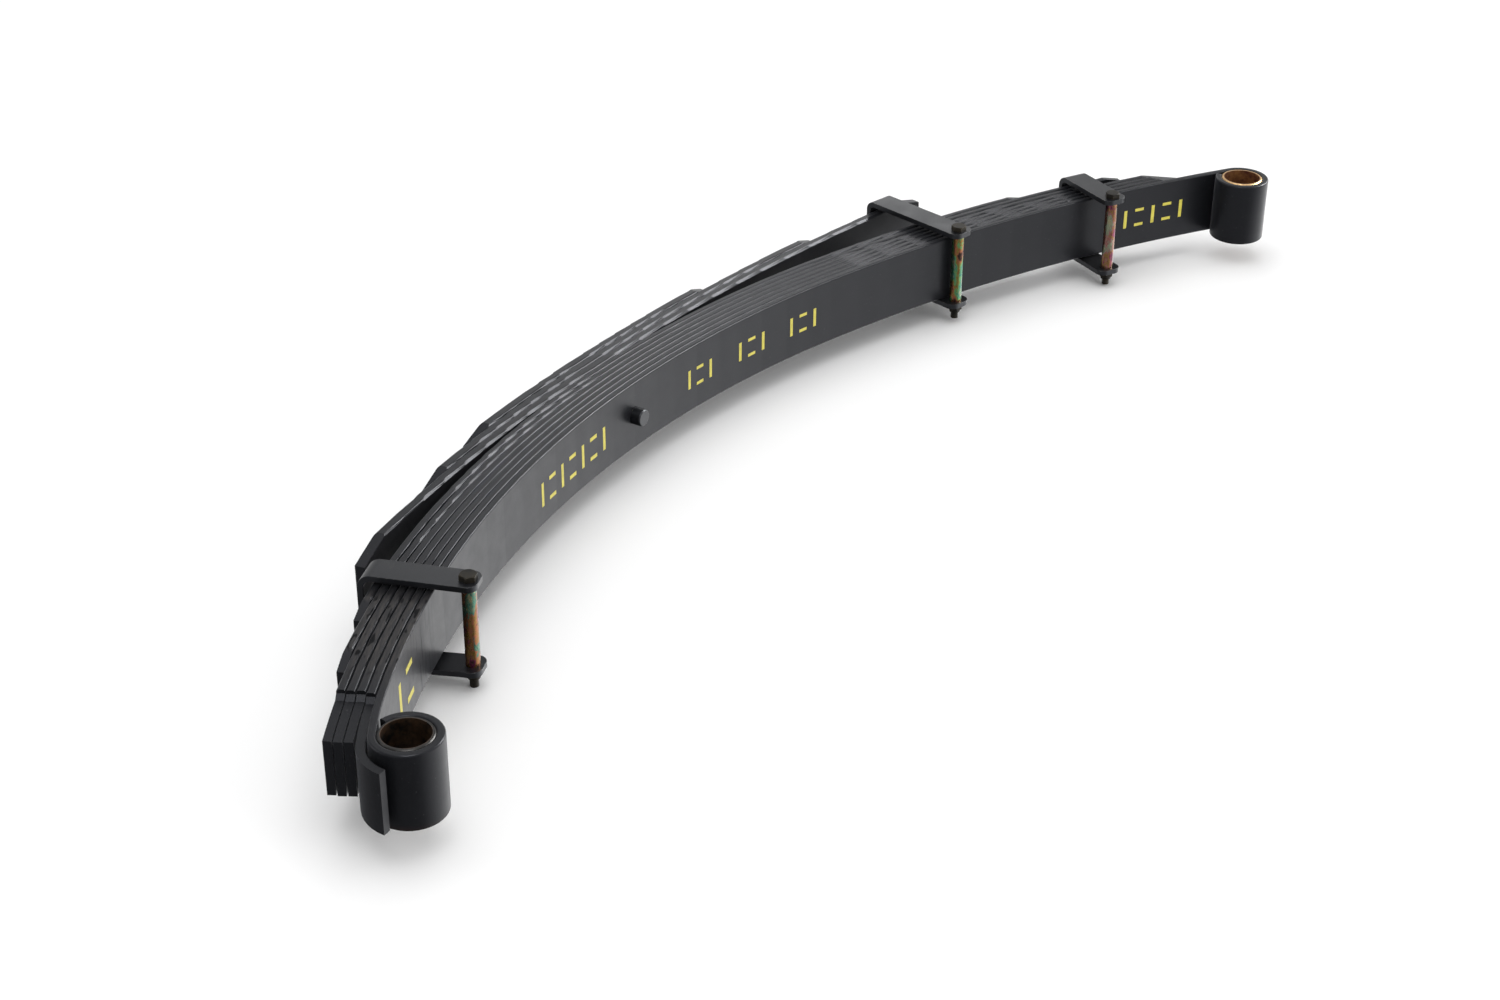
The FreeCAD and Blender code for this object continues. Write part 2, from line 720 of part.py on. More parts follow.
def make_clip_nut(clip):
    """Locking nut: hexagon with a conical collar, under the lower ear."""
    hexed = hexagon(clip + "_nut_hex", "Sizes.clip_nut_flats", "Sizes.clip_nut_hex_height")
    collar = cone(
        clip + "_nut_collar",
        "Sizes.hex_top_share * Sizes.clip_nut_flats / 2",
        "Sizes.clip_nut_collar_radius",
        "Sizes.clip_nut_collar_height",
        "Sizes.clip_nut_hex_height",
    )
    thread = cylinder(
        clip + "_nut_thread",
        "Sizes.clip_shank_radius + Sizes.thread_clearance",
        "Sizes.clip_nut_hex_height + Sizes.clip_nut_collar_height",
    )
    nut = cut(clip + "_nut", joined(clip + "_nut_solid", [hexed, collar]), thread)
    nut.Label = clip + "_nut"
    below = Vector(0, 0, -number("Sizes.%s_lower + Sizes.strap_thickness" % clip))
    flip = Placement(below, Rotation(Vector(1, 0, 0), 180))
    nut.Placement = clip_bolt_frame(clip).multiply(flip)
    return nut


def make_centre_nut():
    hexed = hexagon("centre_nut_hex", "Sizes.centre_nut_flats", "Sizes.centre_nut_height")
    thread = cylinder(
        "centre_nut_thread",
        "Sizes.centre_shank_radius + Sizes.thread_clearance",
        "Sizes.centre_nut_height",
    )
    nut = cut("centre_bolt_nut", hexed, thread)
    nut.Label = "centre_bolt_nut"
    face = Vector(0, number("Sizes.centre_nut_face"), 0)
    nut.Placement = Placement(face, Rotation(Vector(1, 0, 0), -90))
    return nut


nodes = [make_leaf(leaf) for leaf in list(FIRST_STAGE) + list(HELPER_STAGE)]
nodes.append(make_bush("near_eye_bush", "near"))
nodes.append(make_bush("far_eye_bush", "far"))
nodes.append(make_centre_bolt())
nodes.append(make_centre_nut())
for clip in CLIPS:
    nodes.append(make_strap(clip))
    nodes.append(make_sleeve(clip))
    nodes.append(make_clip_bolt(clip))
    nodes.append(make_clip_nut(clip))
    nodes.append(make_rivet(clip))
doc.recompute()

for item in doc.Objects:
    if "Invalid" in item.State or "Error" in item.State:
        raise RuntimeError("%s failed: %s" % (item.Label, item.State))
for node in nodes:
    if node.Shape.isNull() or not node.Shape.isValid():
        raise RuntimeError(node.Label + " has no valid shape")

os.makedirs("parts", exist_ok=True)
for node in nodes:
    node.Shape.exportStep("parts/%s.step" % node.Label)
    print("%-22s %12.1f mm3  %d solid" % (node.Label, node.Shape.Volume, len(node.Shape.Solids)))
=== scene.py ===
import math

import bmesh
import bpy
import numpy as np
from mathutils import Matrix, Vector


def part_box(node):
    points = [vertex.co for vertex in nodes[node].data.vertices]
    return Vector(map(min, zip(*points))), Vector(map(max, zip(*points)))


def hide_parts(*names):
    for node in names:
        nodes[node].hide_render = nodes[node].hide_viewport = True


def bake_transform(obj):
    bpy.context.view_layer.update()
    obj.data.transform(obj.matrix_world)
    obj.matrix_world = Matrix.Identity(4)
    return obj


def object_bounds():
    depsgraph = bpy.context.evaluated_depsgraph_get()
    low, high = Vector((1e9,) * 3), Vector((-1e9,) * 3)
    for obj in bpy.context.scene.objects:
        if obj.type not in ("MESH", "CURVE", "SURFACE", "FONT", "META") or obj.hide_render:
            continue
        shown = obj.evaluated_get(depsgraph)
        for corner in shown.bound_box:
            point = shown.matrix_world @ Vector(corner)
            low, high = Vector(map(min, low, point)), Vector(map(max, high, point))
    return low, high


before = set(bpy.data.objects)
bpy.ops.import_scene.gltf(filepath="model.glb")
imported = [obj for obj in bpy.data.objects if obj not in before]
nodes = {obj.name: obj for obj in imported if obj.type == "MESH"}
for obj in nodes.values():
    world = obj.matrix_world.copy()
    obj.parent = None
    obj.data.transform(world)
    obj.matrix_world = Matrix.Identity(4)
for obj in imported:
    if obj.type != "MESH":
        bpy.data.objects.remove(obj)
size_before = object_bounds()

# ---------------------------------------------------------------- the spring's own measures, in metres
# the concave face's arcs from the seat outwards, each a radius and a sweep; it runs on straight past them
NEAR_ARCS = ((1.121, math.radians(28.305)), (0.414, math.radians(6.961)))
FAR_ARCS = ((1.139, math.radians(15.313)), (1.652, math.radians(19.075)))
NEAR_LENGTH, FAR_LENGTH = 0.60, 0.83
STATION_STEP = 0.002
# where along the leaf each limb starts to bend, and where it has turned all the way
NEAR_BEND = (-0.05, -0.345)
FAR_BEND = (0.05, 0.465)
BUSH_BORE = 0.0196
LEAVES = ("main_leaf", "wrap_leaf", "leaf_3", "leaf_4", "leaf_5", "leaf_6", "leaf_7")
HELPERS = ("helper_leaf_1", "helper_leaf_2", "helper_leaf_3")
LOOP_STEP = 0.02
WELD = 1e-6
FLAT_ANGLE = math.radians(0.3)
SHARP_ANGLE = math.radians(28)
STRAP_CORNER = 0.0007
BOLT_CORNER = 0.0003
CORNER_SEGMENTS = 2
FACE_WEIGHT = 90


def add_object(data):
    """A new object in the scene, named like its data."""
    obj = bpy.data.objects.new(data.name, data)
    bpy.context.scene.collection.objects.link(obj)
    return obj


def limb_point(s):
    """Point and convex-side normal of the concave face, s metres along it (near limb negative)."""
    side = -1 if s < 0 else 1
    left, x, y, turn = abs(s), 0.0, 0.0, 0.0
    for radius, sweep in NEAR_ARCS if s < 0 else FAR_ARCS:
        step = min(sweep, left / radius)
        left -= step * radius
        cx, cy = x - math.sin(turn) * radius, y - math.cos(turn) * radius
        turn += step
        x, y = cx + math.sin(turn) * radius, cy + math.cos(turn) * radius
    x, y = x + left * math.cos(turn), y - left * math.sin(turn)
    return Vector((side * x, y)), Vector((side * math.sin(turn), math.cos(turn)))


STATIONS = np.arange(-NEAR_LENGTH, FAR_LENGTH, STATION_STEP)
LINE = np.array([limb_point(s)[0] for s in STATIONS])
NORMALS = np.array([limb_point(s)[1] for s in STATIONS])


def bar_place(points):
    """(along, depth, across) of points: along the main leaf, off its concave face, across the width."""
    near = np.array([((LINE - p[:2]) ** 2).sum(1).argmin() for p in points])
    depth = ((points[:, :2] - LINE[near]) * NORMALS[near]).sum(1)
    return np.column_stack([STATIONS[near], depth, points[:, 2]])


def store_bar(mesh):
    """Keeps each vertex's rest place on the bar, which the materials are laid out by."""
    points = np.array([v.co for v in mesh.vertices], float).reshape(-1, 3)
    layer = mesh.attributes.new("bar", "FLOAT_VECTOR", "POINT")
    layer.data.foreach_set("vector", bar_place(points).astype(np.float32).ravel())


def soften(obj, width):
    """Breaks the sharp corners of a piece by a small rounding."""
    weld = obj.modifiers.new("weld", "WELD")
    weld.merge_threshold = WELD
    merge = obj.modifiers.new("flat_faces", "DECIMATE")
    merge.decimate_type = "DISSOLVE"
    merge.angle_limit = FLAT_ANGLE
    bevel = obj.modifiers.new("broken_corners", "BEVEL")
    bevel.width = width
    bevel.segments = CORNER_SEGMENTS
    bevel.limit_method = "ANGLE"
    bevel.angle_limit = SHARP_ANGLE
    bevel.harden_normals = True


def smooth(obj):
    """Smooth shading with crisp edges, and flat faces kept flat."""
    mesh = obj.data
    work = bmesh.new()
    work.from_mesh(mesh)
    for face in work.faces:
        face.smooth = True
    for edge in work.edges:
        edge.smooth = not (len(edge.link_faces) == 2 and edge.calc_face_angle(0.0) > SHARP_ANGLE)
    work.to_mesh(mesh)
    work.free()
    weights = obj.modifiers.new("weights", "WEIGHTED_NORMAL")
    weights.keep_sharp = True
    weights.weight = FACE_WEIGHT


# ---------------------------------------------------------------- node helpers
EDGE_SAMPLES = 4
# how far the rounded normal agrees with the plain one on an open face, and right at a corner
EDGE_NONE, EDGE_FULL = 0.995, 0.90


class Wiring:
    """A node tree being wired up: each call adds one node or a few and returns the output to use."""

    def __init__(self, tree):
        self.tree = tree

    def add(self, kind, operation=None):
        node = self.tree.nodes.new(kind)
        if operation:
            node.operation = operation
        return node

    def put(self, socket, value):
        """Links an output to the socket, or sets the socket to a constant."""
        if isinstance(value, bpy.types.NodeSocket):
            self.tree.links.new(value, socket)
        elif isinstance(value, (tuple, list)) and len(value) == 3 and socket.type == "RGBA":
            socket.default_value = (*value, 1.0)
        else:
            socket.default_value = value

    def vector(self, operation, a, b):
        node = self.add("ShaderNodeVectorMath", operation)
        self.put(node.inputs[0], a)
        self.put(node.inputs[1], b)
        return node.outputs["Value" if operation == "DOT_PRODUCT" else "Vector"]

    def part(self, vector, axis):
        node = self.add("ShaderNodeSeparateXYZ")
        self.put(node.inputs[0], vector)
        return node.outputs[axis]

    def noise(self, vector, scale, detail, rough):
        node = self.add("ShaderNodeTexNoise")
        self.put(node.inputs["Vector"], vector)
        node.inputs["Scale"].default_value = scale
        node.inputs["Detail"].default_value = detail
        node.inputs["Roughness"].default_value = rough
        return node.outputs["Fac"]

    def ramp(self, value, low, high, start=0.0, end=1.0):
        """Goes from start to end while the value goes from low to high, and stays there outside."""
        node = self.add("ShaderNodeMapRange")
        node.clamp = True
        self.put(node.inputs[0], value)
        for i, number in enumerate((low, high, start, end), 1):
            self.put(node.inputs[i], number)
        return node.outputs[0]

    def math(self, operation, a, b=0.0):
        node = self.add("ShaderNodeMath", operation)
        self.put(node.inputs[0], a)
        self.put(node.inputs[1], b)
        return node.outputs[0]

    def times(self, a, b):
        return self.math("MULTIPLY", a, b)


class Shader(Wiring):
    """A new material, with the nodes that materials need."""

    def __init__(self, name):
        self.material = bpy.data.materials.new(name)
        self.material.use_nodes = True
        super().__init__(self.material.node_tree)
        self.tree.nodes.clear()
        self.bsdf = self.add("ShaderNodeBsdfPrincipled")
        self.tree.links.new(self.bsdf.outputs[0], self.add("ShaderNodeOutputMaterial").inputs["Surface"])

    def set(self, **values):
        """Sets the surface's sockets, with _ for each space in a socket's name."""
        for name, value in values.items():
            self.put(self.bsdf.inputs[name.replace("_", " ")], value)

    def bar(self):
        """The stored rest place on the bar."""
        node = self.add("ShaderNodeAttribute")
        node.attribute_name = "bar"
        return node.outputs["Vector"]

    def place(self):
        """The place in the piece's own frame."""
        return self.add("ShaderNodeTexCoord").outputs["Object"]

    def mix(self, share, a, b):
        node = self.add("ShaderNodeMix")
        node.data_type = "RGBA"
        self.put(node.inputs[0], share)
        self.put(node.inputs[6], a)
        self.put(node.inputs[7], b)
        return node.outputs[2]

    def colours(self, value, *stops):
        """A colour that goes from stop to stop; each stop is a value and its colour."""
        node = self.add("ShaderNodeValToRGB")
        self.put(node.inputs[0], value)
        elements = node.color_ramp.elements
        while len(elements) < len(stops):
            elements.new(0.5)
        for element, (at, colour) in zip(elements, stops):
            element.position = at
            element.color = (*colour, 1.0)
        return node.outputs[0]

    def bump(self, height, strength, distance):
        node = self.add("ShaderNodeBump")
        node.inputs["Strength"].default_value = strength
        node.inputs["Distance"].default_value = distance
        self.put(node.inputs["Height"], height)
        return node.outputs[0]

    def edge(self, radius):
        """1 where a corner is within radius, 0 on open faces."""
        bevel = self.add("ShaderNodeBevel")
        bevel.samples = EDGE_SAMPLES
        bevel.inputs["Radius"].default_value = radius
        plain = self.add("ShaderNodeNewGeometry").outputs["Normal"]
        return self.ramp(self.vector("DOT_PRODUCT", bevel.outputs[0], plain), EDGE_NONE, EDGE_FULL)


# ---------------------------------------------------------------- materials
# zones of the leaves with dirt of their own, along, off or across the bar: from none of it to all of it
SCUFF_START, SCUFF_END = (-0.405, -0.43), (-0.50, -0.44)
SCUFF_DEPTH = (0.0012, 0.0004)
DUST_START, DUST_END = (-0.40, -0.425), (-0.545, -0.50)
DUST_TOP = (0.0335, 0.0348)
RUST_ALONG, RUST_ACROSS = (-0.560, -0.580), (-0.029, -0.0345)


def leaf_paint():
    """Satin black paint: fine grain, long faint streaks, marks beside the near clip, worn corners."""
    s = Shader("leaf_paint")
    where = s.bar()
    along, depth, across = (s.part(where, i) for i in range(3))
    grain = s.noise(where, 900.0, 3.0, 0.7)
    cloud = s.noise(where, 9.0, 5.0, 0.55)
    streak = s.noise(s.vector("MULTIPLY", where, (14.0, 160.0, 160.0)), 1.0, 4.0, 0.6)
    speck = s.noise(where, 420.0, 1.0, 0.5)
    base = s.mix(s.ramp(cloud, 0.3, 0.7), (0.0062, 0.0065, 0.0078), (0.0090, 0.0094, 0.0112))
    base = s.mix(s.ramp(streak, 0.55, 0.8, 0.0, 0.35), base, (0.011, 0.0114, 0.0126))
    base = s.mix(s.ramp(grain, 0.62, 0.78, 0.0, 0.45), base, (0.030, 0.030, 0.032))
    base = s.mix(s.ramp(speck, 0.72, 0.76, 0.0, 0.35), base, (0.055, 0.055, 0.056))
    # dark scuffs across the concave face beside the near clip
    scuffed = s.times(s.ramp(along, *SCUFF_END), s.ramp(along, *SCUFF_START))
    scuffed = s.times(scuffed, s.ramp(depth, *SCUFF_DEPTH))
    scratch = s.noise(s.vector("MULTIPLY", where, (260.0, 1.0, 16.0)), 1.0, 3.0, 0.6)
    scuffed = s.times(scuffed, s.ramp(scratch, 0.54, 0.62))
    base = s.mix(s.times(scuffed, 0.75), base, (0.004, 0.004, 0.0045))
    # brown dust on the upper leaf edges past the near clip, with dark oval smudges
    dusty = s.times(s.ramp(along, *DUST_END), s.ramp(along, *DUST_START))
    dusty = s.times(dusty, s.ramp(across, *DUST_TOP))
    dust = s.noise(s.vector("MULTIPLY", where, (60.0, 500.0, 60.0)), 1.0, 4.0, 0.6)
    dust = s.times(dusty, s.ramp(dust, 0.42, 0.62, 0.15, 0.85))
    base = s.mix(dust, base, (0.034, 0.030, 0.027))
    smudge = s.noise(s.vector("MULTIPLY", where, (70.0, 190.0, 30.0)), 1.0, 1.0, 0.4)
    smudge = s.times(dusty, s.ramp(smudge, 0.60, 0.66))
    base = s.mix(smudge, base, (0.003, 0.003, 0.0035))
    # rust bleeding at the lower corner of the wrap
    rusty = s.times(s.ramp(along, *RUST_ALONG), s.ramp(across, *RUST_ACROSS))
    rust = s.times(rusty, s.ramp(cloud, 0.40, 0.58, 0.1, 0.6))
    base = s.mix(rust, base, (0.075, 0.036, 0.020))
    # paint worn thin at the corners
    chipped = s.times(s.edge(0.0007), s.ramp(s.noise(where, 160.0, 2.0, 0.7), 0.60, 0.68))
    base = s.mix(s.times(chipped, 0.55), base, (0.10, 0.10, 0.10))
    height = s.math("ADD", s.times(grain, 0.7), s.times(streak, 0.1))
    dull = s.math("ADD", s.times(scuffed, 0.11), s.times(smudge, 0.12))
    s.set(
        Base_Color=base,
        Roughness=s.ramp(s.noise(where, 60.0, 4.0, 0.65), 0.25, 0.75, 0.29, 0.40),
        Normal=s.bump(height, 0.22, 0.00018),
        Specular_IOR_Level=s.math("SUBTRACT", 0.15, dull),
        Specular_Tint=(0.90, 0.92, 1.0),
        Sheen_Weight=0.10,
        Sheen_Roughness=0.35,
        Sheen_Tint=(0.90, 0.93, 1.0),
    )
    return s.material


def clip_paint():
    """Satin paint on the straps, the rivets and the centre bolt, bright where corners are chipped."""
    s = Shader("clip_paint")
    where = s.place()
    grain = s.noise(where, 1100.0, 3.0, 0.7)
    cloud = s.noise(where, 35.0, 4.0, 0.6)
    base = s.mix(s.ramp(cloud, 0.3, 0.7), (0.0050, 0.0052, 0.0062), (0.0078, 0.0081, 0.0094))
    base = s.mix(s.ramp(grain, 0.6, 0.78, 0.0, 0.4), base, (0.026, 0.026, 0.027))
    chips = s.times(s.edge(0.0006), s.ramp(s.noise(where, 210.0, 2.0, 0.7), 0.52, 0.60))
    base = s.mix(s.times(chips, 0.85), base, (0.20, 0.19, 0.17))
    worn = s.times(s.ramp(s.noise(where, 75.0, 3.0, 0.6), 0.62, 0.70), 0.35)
    base = s.mix(worn, base, (0.022, 0.020, 0.018))
    s.set(
        Base_Color=base,
        Roughness=s.ramp(cloud, 0.3, 0.7, 0.30, 0.42),
        Normal=s.bump(grain, 0.2, 0.00015),
        Specular_IOR_Level=0.32,
        Specular_Tint=(0.88, 0.92, 1.0),
    )
    return s.material


def zinc_sleeve(name, seed, first, second, third):
    """Yellow zinc plate whose film drifts between three interference colours, set out by the seed."""
    s = Shader(name)
    where = s.place()
    drift = s.vector("MULTIPLY", where, (75.0, 75.0, 36.0))
    drift = s.vector("ADD", drift, (seed, seed * 2.0, seed * 3.0))
    film = s.noise(drift, 1.0, 3.0, 0.55)
    blotch = s.noise(drift, 2.6, 4.0, 0.6)
    colour = s.colours(
        s.math("ADD", s.times(film, 0.75), s.times(blotch, 0.25)),
        (0.38, (0.030, 0.016, 0.012)),
        (0.43, first),
        (0.475, (0.17, 0.105, 0.025)),
        (0.52, second),
        (0.565, third),
        (0.62, (0.24, 0.22, 0.13)),
    )
    stain = s.ramp(s.noise(drift, 6.0, 5.0, 0.7), 0.56, 0.68)
    colour = s.mix(s.times(stain, 0.75), colour, (0.020, 0.012, 0.010))
    turned = s.noise(s.vector("MULTIPLY", where, (30.0, 30.0, 2600.0)), 1.0, 2.0, 0.5)
    s.set(
        Base_Color=colour,
        Metallic=0.85,
        Roughness=s.ramp(blotch, 0.3, 0.7, 0.20, 0.34),
        Normal=s.bump(turned, 0.25, 0.0001),
    )
    return s.material


def black_steel():
    """Black oxide on bolts and nuts, browned and rubbed bright at the corners."""
    s = Shader("black_steel")
    where = s.place()
    cloud = s.noise(where, 110.0, 4.0, 0.65)
    fine = s.noise(where, 1500.0, 2.0, 0.6)
    base = s.mix(s.ramp(cloud, 0.35, 0.65), (0.009, 0.009, 0.008), (0.024, 0.020, 0.014))
    rubbed = s.times(s.edge(0.0005), s.ramp(cloud, 0.42, 0.6, 0.1, 0.7))
    base = s.mix(rubbed, base, (0.13, 0.115, 0.09))
    s.set(
        Base_Color=base,
        Metallic=0.2,
        Roughness=s.ramp(fine, 0.3, 0.7, 0.34, 0.5),
        Normal=s.bump(fine, 0.25, 0.0001),
        Specular_IOR_Level=0.08,
    )
    return s.material


def bush_metal(name, rim, inside, rusty):
    """A bush: its end faces one tone, its bore another, with drawn lines along the bore."""
    s = Shader(name)
    where = s.place()
    low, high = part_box(name)
    centre = (low + high) / 2
    off_axis = s.vector("SUBTRACT", where, (centre.x, centre.y, 0.0))
    x, y = s.part(off_axis, 0), s.part(off_axis, 1)
    radius = s.math("SQRT", s.math("ADD", s.times(x, x), s.times(y, y)))
    in_bore = s.ramp(radius, BUSH_BORE + 0.0009, BUSH_BORE + 0.0003)
    fine = s.noise(s.vector("MULTIPLY", where, (900.0, 900.0, 60.0)), 1.0, 3.0, 0.6)
    bore = s.mix(s.ramp(s.noise(where, 85.0, 5.0, 0.65), 0.38, 0.62), inside, rusty)
    tarnished = tuple(0.45 * part for part in rim)
    face = s.mix(s.ramp(s.noise(where, 400.0, 4.0, 0.7), 0.35, 0.7), rim, tarnished)
    s.set(
        Base_Color=s.mix(in_bore, face, bore),
        Metallic=s.ramp(in_bore, 0.0, 1.0, 0.9, 0.45),
        Roughness=s.ramp(fine, 0.3, 0.7, 0.30, 0.50),
        Normal=s.bump(fine, 0.2, 0.0001),
    )
    return s.material


def mark_paint():
    """Thin sprayed yellow paint, uneven and slightly worn through."""
    s = Shader("mark_paint")
    where = s.bar()
    worn = s.noise(where, 700.0, 3.0, 0.7)
    cloud = s.noise(where, 120.0, 3.0, 0.6)
    base = s.mix(s.ramp(cloud, 0.3, 0.7), (0.50, 0.43, 0.045), (0.66, 0.58, 0.075))
    base = s.mix(s.ramp(worn, 0.60, 0.72, 0.0, 0.6), base, (0.10, 0.09, 0.04))
    s.set(Base_Color=base, Roughness=0.55, Normal=s.bump(worn, 0.15, 0.0001))
    return s.material


LEAF_PAINT = leaf_paint()
CLIP_PAINT = clip_paint()
BLACK_STEEL = black_steel()
MARK_PAINT = mark_paint()
TEAL, MAGENTA, ROSE = (0.030, 0.140, 0.105), (0.170, 0.030, 0.075), (0.22, 0.090, 0.085)
GREEN, ORANGE, PALE_GREEN = (0.095, 0.22, 0.085), (0.24, 0.085, 0.045), (0.17, 0.20, 0.14)
GREY, BLACK, RUST = (0.030, 0.029, 0.028), (0.004, 0.0036, 0.003), (0.060, 0.032, 0.016)
BRASS, RED_BROWN, TAN = (0.62, 0.40, 0.19), (0.080, 0.022, 0.012), (0.26, 0.12, 0.04)
SLEEVES = {
    "near_clip": zinc_sleeve("zinc_near", 3.1, MAGENTA, ORANGE, TEAL),
    "helper_clip": zinc_sleeve("zinc_helper", 7.7, ORANGE, GREEN, TEAL),
    "far_clip": zinc_sleeve("zinc_far", 12.4, MAGENTA, ROSE, PALE_GREEN),
}
BUSHES = {
    "near_eye_bush": bush_metal("near_eye_bush", GREY, BLACK, RUST),
    "far_eye_bush": bush_metal("far_eye_bush", BRASS, RED_BROWN, TAN),
}


def finish_node(obj, material):
    obj.data.materials.clear()
    obj.data.materials.append(material)


# ---------------------------------------------------------------- leaves of the first stage, cut in halves and across at short steps
def cut_across(work, point, direction, clear_inner=False):
    """Cuts the whole mesh by a plane and returns what lies in the cut."""
    everything = work.verts[:] + work.edges[:] + work.faces[:]
    return bmesh.ops.bisect_plane(
        work, geom=everything, dist=WELD, plane_co=point, plane_no=direction, clear_inner=clear_inner
    )["geom_cut"]


def half_leaf(source, side):
    """The near (-1) or far (+1) half of a leaf, cut across at short steps along the limb."""
    end = "near" if side < 0 else "far"
    mesh = bpy.data.meshes.new(f"{source.name}_{end}_half")
    work = bmesh.new()
    work.from_mesh(source.data)
    bmesh.ops.remove_doubles(work, verts=work.verts, dist=WELD)
    cut = cut_across(work, (0, 0, 0), (side, 0, 0), clear_inner=True)
    rim = [part for part in cut if isinstance(part, bmesh.types.BMEdge)]
    bmesh.ops.holes_fill(work, edges=rim, sides=0)
    reach = max(side * v.co.x for v in work.verts)
    at = LOOP_STEP
    while at < reach:
        point, normal = limb_point(side * at)
        cut_across(work, (point.x, point.y, 0), Vector((normal.y, -normal.x, 0)) * side)
        at += LOOP_STEP
    bmesh.ops.recalc_face_normals(work, faces=work.faces)
    work.to_mesh(mesh)
    work.free()
    obj = add_object(mesh)
    store_bar(mesh)
    finish_node(obj, LEAF_PAINT)
    smooth(obj)
    return obj


def bend_with_limb(obj, side):
    """Bakes the piece's place into its mesh; the limb's bend points are looked up but not used."""
    limb, stations = ("near_limb", NEAR_BEND) if side < 0 else ("far_limb", FAR_BEND)
    a, b = (limb_point(station)[0] for station in stations)
    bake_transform(obj)


for leaf in LEAVES:
    for side in (-1, 1):
        half = half_leaf(nodes[leaf], side)
        bend_with_limb(half, side)
        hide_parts(leaf)

# ---------------------------------------------------------------- the CAD pieces that keep their shape
for name in HELPERS:
    store_bar(nodes[name].data)
    finish_node(nodes[name], LEAF_PAINT)
    smooth(nodes[name])

for name, obj in nodes.items():
    if name in LEAVES or name in HELPERS:
        continue
    if name in BUSHES:
        finish_node(obj, BUSHES[name])
    elif name.endswith("_sleeve"):
        finish_node(obj, SLEEVES[name.removesuffix("_sleeve")])
    elif name.endswith(("_strap", "_rivet")) or name == "centre_bolt":
        finish_node(obj, CLIP_PAINT)
    else:
        finish_node(obj, BLACK_STEEL)
    if name.endswith("_strap"):
        soften(obj, STRAP_CORNER)
    elif name.endswith(("_bolt", "_nut")):
        soften(obj, BOLT_CORNER)
    smooth(obj)


# ---------------------------------------------------------------- stencilled marks: plain bars and dashes
MARK_THICKNESS = 0.00012
MARK_LIFT = 0.00002
MARK_STEP = 6
MILLIMETRES = 1000
# bars and dashes as shares of the pitch between them, and a dash's height as a share of a bar's
BAR_START, BAR_WIDTH = 0.2, 0.22
DASH_LENGTH, DASH_HEIGHT = 0.62, 0.16


def mark_strokes(name, side, strokes):
    """Thin paint on the concave face. Each stroke is (along, across, length, height) in millimetres."""
    mesh = bpy.data.meshes.new(name)
    work = bmesh.new()
    for along, across, length, height in strokes:
        steps = max(1, round(length / MARK_STEP))
        rings = []
        for i in range(steps + 1):
            point, normal = limb_point((along + length * i / steps) / MILLIMETRES)
            ring = []
            for lift in (MARK_LIFT, MARK_LIFT + MARK_THICKNESS):
                for z in (across, across + height):
                    at = point - normal * lift
                    ring.append(work.verts.new((at.x, at.y, z / MILLIMETRES)))
            rings.append([ring[0], ring[1], ring[3], ring[2]])
        for a, b in zip(rings, rings[1:]):
            for i in range(4):
                j = (i + 1) % 4
                work.faces.new((a[i], a[j], b[j], b[i]))
        work.faces.new(rings[0])
        work.faces.new(rings[-1][::-1])
    bmesh.ops.recalc_face_normals(work, faces=work.faces)
    work.to_mesh(mesh)
    work.free()
    obj = add_object(mesh)
    store_bar(mesh)
    finish_node(obj, MARK_PAINT)
    bend_with_limb(obj, side)


def dashes(start, end, count, low, high, drift=0.0):
    """A row of upright bars and pairs of short dashes in turn, between two stations, in millimetres."""
    pitch = (end - start) / count
    tall = high - low
    strokes = []
    for i in range(count):
        at = start + i * pitch
        base = low + drift * i / count
        if i % 2:
            for foot in (base, base + tall * (1 - DASH_HEIGHT)):
                strokes.append((at, foot, pitch * DASH_LENGTH, tall * DASH_HEIGHT))
        else:
            strokes.append((at + pitch * BAR_START, base, pitch * BAR_WIDTH, tall))
    return strokes


mark_strokes("mark_near_half", -1, dashes(-171, -40, 7, -16, 8, 4))
for i, (start, end) in enumerate(((84, 134), (163, 215), (240, 291)), 1):
    mark_strokes(f"mark_far_half_{i}", 1, dashes(start, end, 3, -10, 10))
mark_strokes("mark_far_tip", 1, dashes(710, 803, 5, -11, 10))
mark_strokes("mark_near_tip", -1, dashes(-517, -457, 2, -19, 14))

# ---------------------------------------------------------------- floor, light and camera
FLOOR_REACH = 60.0
FLOOR_WHITE = (0.93, 0.93, 0.93)


def stage_floor():
    """A plain pale floor under the spring. Reflections leave it out and show the studio instead."""
    mesh = bpy.data.meshes.new("floor")
    work = bmesh.new()
    bmesh.ops.create_grid(work, x_segments=1, y_segments=1, size=FLOOR_REACH)
    work.to_mesh(mesh)
    work.free()
    floor = add_object(mesh)
    floor.location = (0, 0, size_before[0].z)
    s = Shader("floor")
    s.set(Base_Color=FLOOR_WHITE, Roughness=0.9, Specular_IOR_Level=0.1)
    finish_node(floor, s.material)
    floor.visible_glossy = False


def softbox(name, location, target, size, power, gloss_only=False):
    """A square area light; one that is gloss_only makes highlights and leaves matt surfaces alone."""
    data = bpy.data.lights.new(name, "AREA")
    data.size = size
    data.energy = power
    light = add_object(data)
    light.location = location
    light.rotation_euler = (Vector(target) - Vector(location)).to_track_quat("-Z", "Y").to_euler()
    light.visible_diffuse = not gloss_only


# brightness of the room, and the heights and sides that it changes at, as parts of a unit direction
ROOM_LEVEL = 0.72
TABLE_LEVEL = 2.6
TABLE_SIDE, TABLE_EDGE = (0.8, -0.6, 0.0), (0.25, 0.85)
DARK_HEIGHTS, DARK_LEVELS = (-0.54, -0.36), (0.04, 0.95)
HORIZON = (-0.12, 0.05)


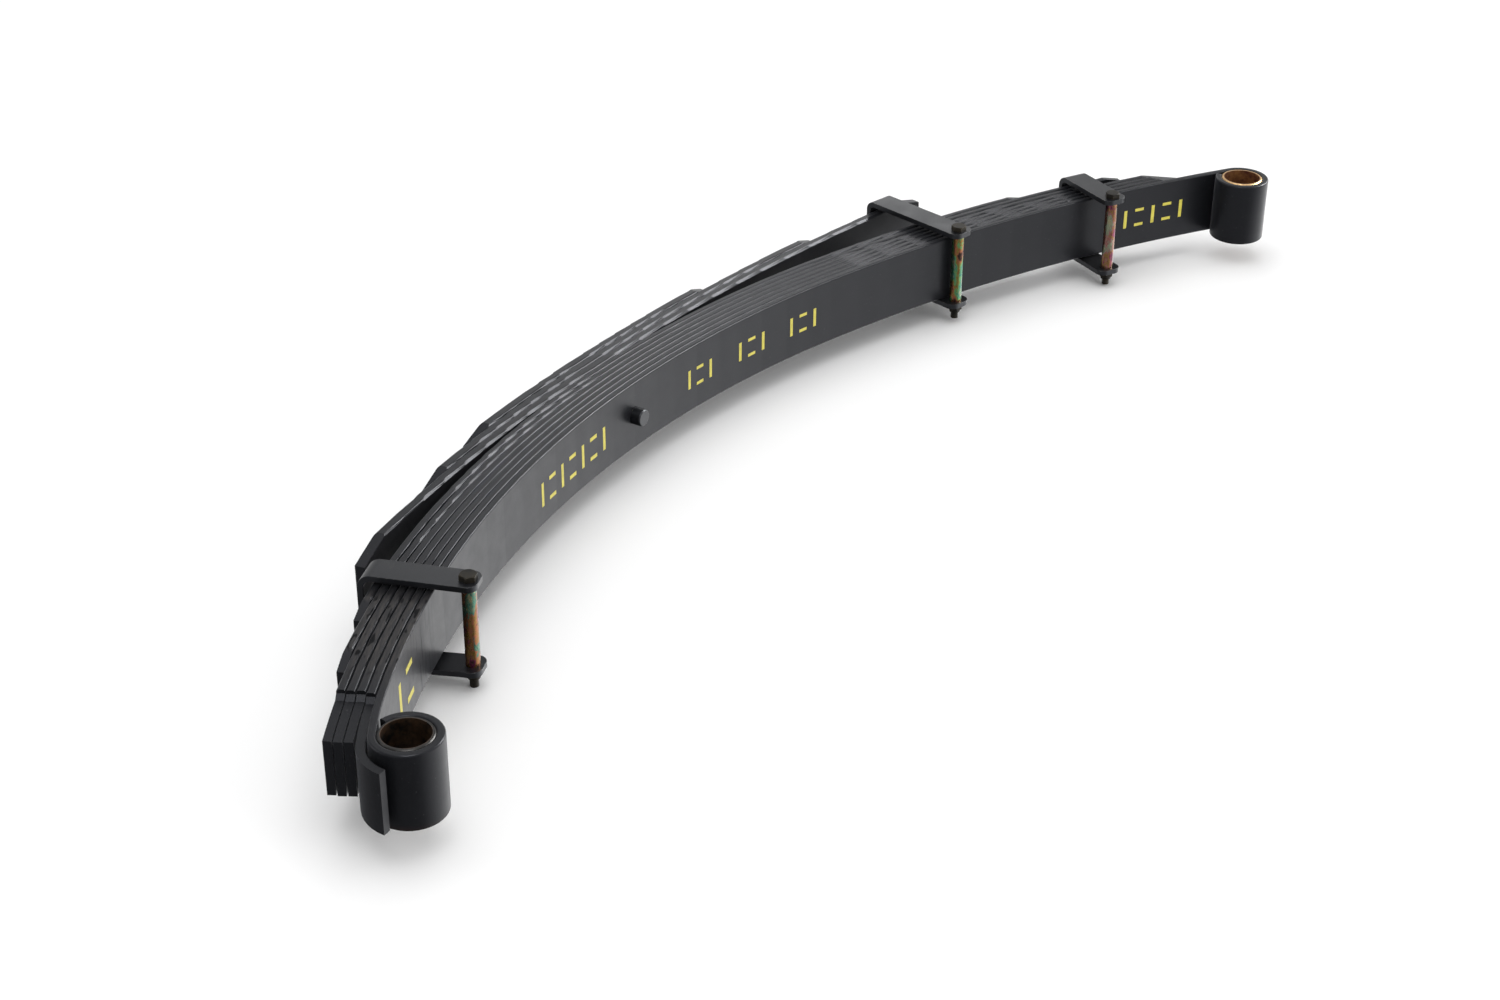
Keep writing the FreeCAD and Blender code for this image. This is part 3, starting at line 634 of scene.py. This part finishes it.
def studio_world():
    """The room: even above the horizon, and below it bright to the right and dark straight down."""
    world = bpy.data.worlds.new("studio")
    world.use_nodes = True
    w = Wiring(world.node_tree)
    direction = w.add("ShaderNodeTexCoord").outputs["Generated"]
    height = w.part(direction, 2)
    table = w.ramp(w.vector("DOT_PRODUCT", direction, TABLE_SIDE), *TABLE_EDGE)
    dark = w.ramp(height, *DARK_HEIGHTS, *DARK_LEVELS)
    below = w.math("ADD", dark, w.times(table, w.math("SUBTRACT", TABLE_LEVEL, dark)))
    above_horizon = w.ramp(height, *HORIZON)
    level = w.math("ADD", below, w.times(above_horizon, w.math("SUBTRACT", ROOM_LEVEL, below)))
    background = world.node_tree.nodes["Background"]
    background.inputs["Color"].default_value = (1.0, 1.0, 1.0, 1.0)
    w.put(background.inputs["Strength"], level)
    bpy.context.scene.world = world


stage_floor()
studio_world()
bpy.context.scene.view_settings.view_transform = "Standard"

softbox("overhead", (0.3, 0.2, 2.8), (0.1, -0.1, 0.0), 3.2, 44.0)
softbox("far_back", (3.0, 1.8, 1.5), (0.4, 0.0, 0.0), 1.4, 10.0)
softbox("right_side", (0.2, -2.8, 0.9), (-0.1, 0.0, 0.0), 1.8, 22.0)
softbox("right_key", (2.3, -1.6, 1.35), (0.1, -0.1, 0.0), 0.7, 140.0, gloss_only=True)
softbox("top_key", (-1.3, -0.85, 2.3), (-0.5, -0.15, 0.0), 0.8, 55.0, gloss_only=True)
softbox("near_key", (2.3, -0.95, 0.88), (-0.45, -0.1, 0.0), 0.9, 34.0, gloss_only=True)
softbox("left_side", (-2.0, 2.2, 1.0), (0.0, 0.0, 0.0), 1.2, 14.0)

CAMERA_PLACE = Vector((-1.71133, -1.19475, 1.11229))
CAMERA_FORWARD = Vector((0.735073, 0.457512, -0.500351))
CAMERA_ROLL = math.radians(0.4355)
CAMERA_LENS, CAMERA_SENSOR = 59.55, 36.0
camera_data = bpy.data.cameras.new("camera")
camera_data.sensor_width = CAMERA_SENSOR
camera_data.lens = CAMERA_LENS
camera = add_object(camera_data)
turn = CAMERA_FORWARD.to_track_quat("-Z", "Y").to_matrix() @ Matrix.Rotation(CAMERA_ROLL, 3, "Z")
camera.matrix_world = Matrix.Translation(CAMERA_PLACE) @ turn.to_4x4()
bpy.context.scene.camera = camera
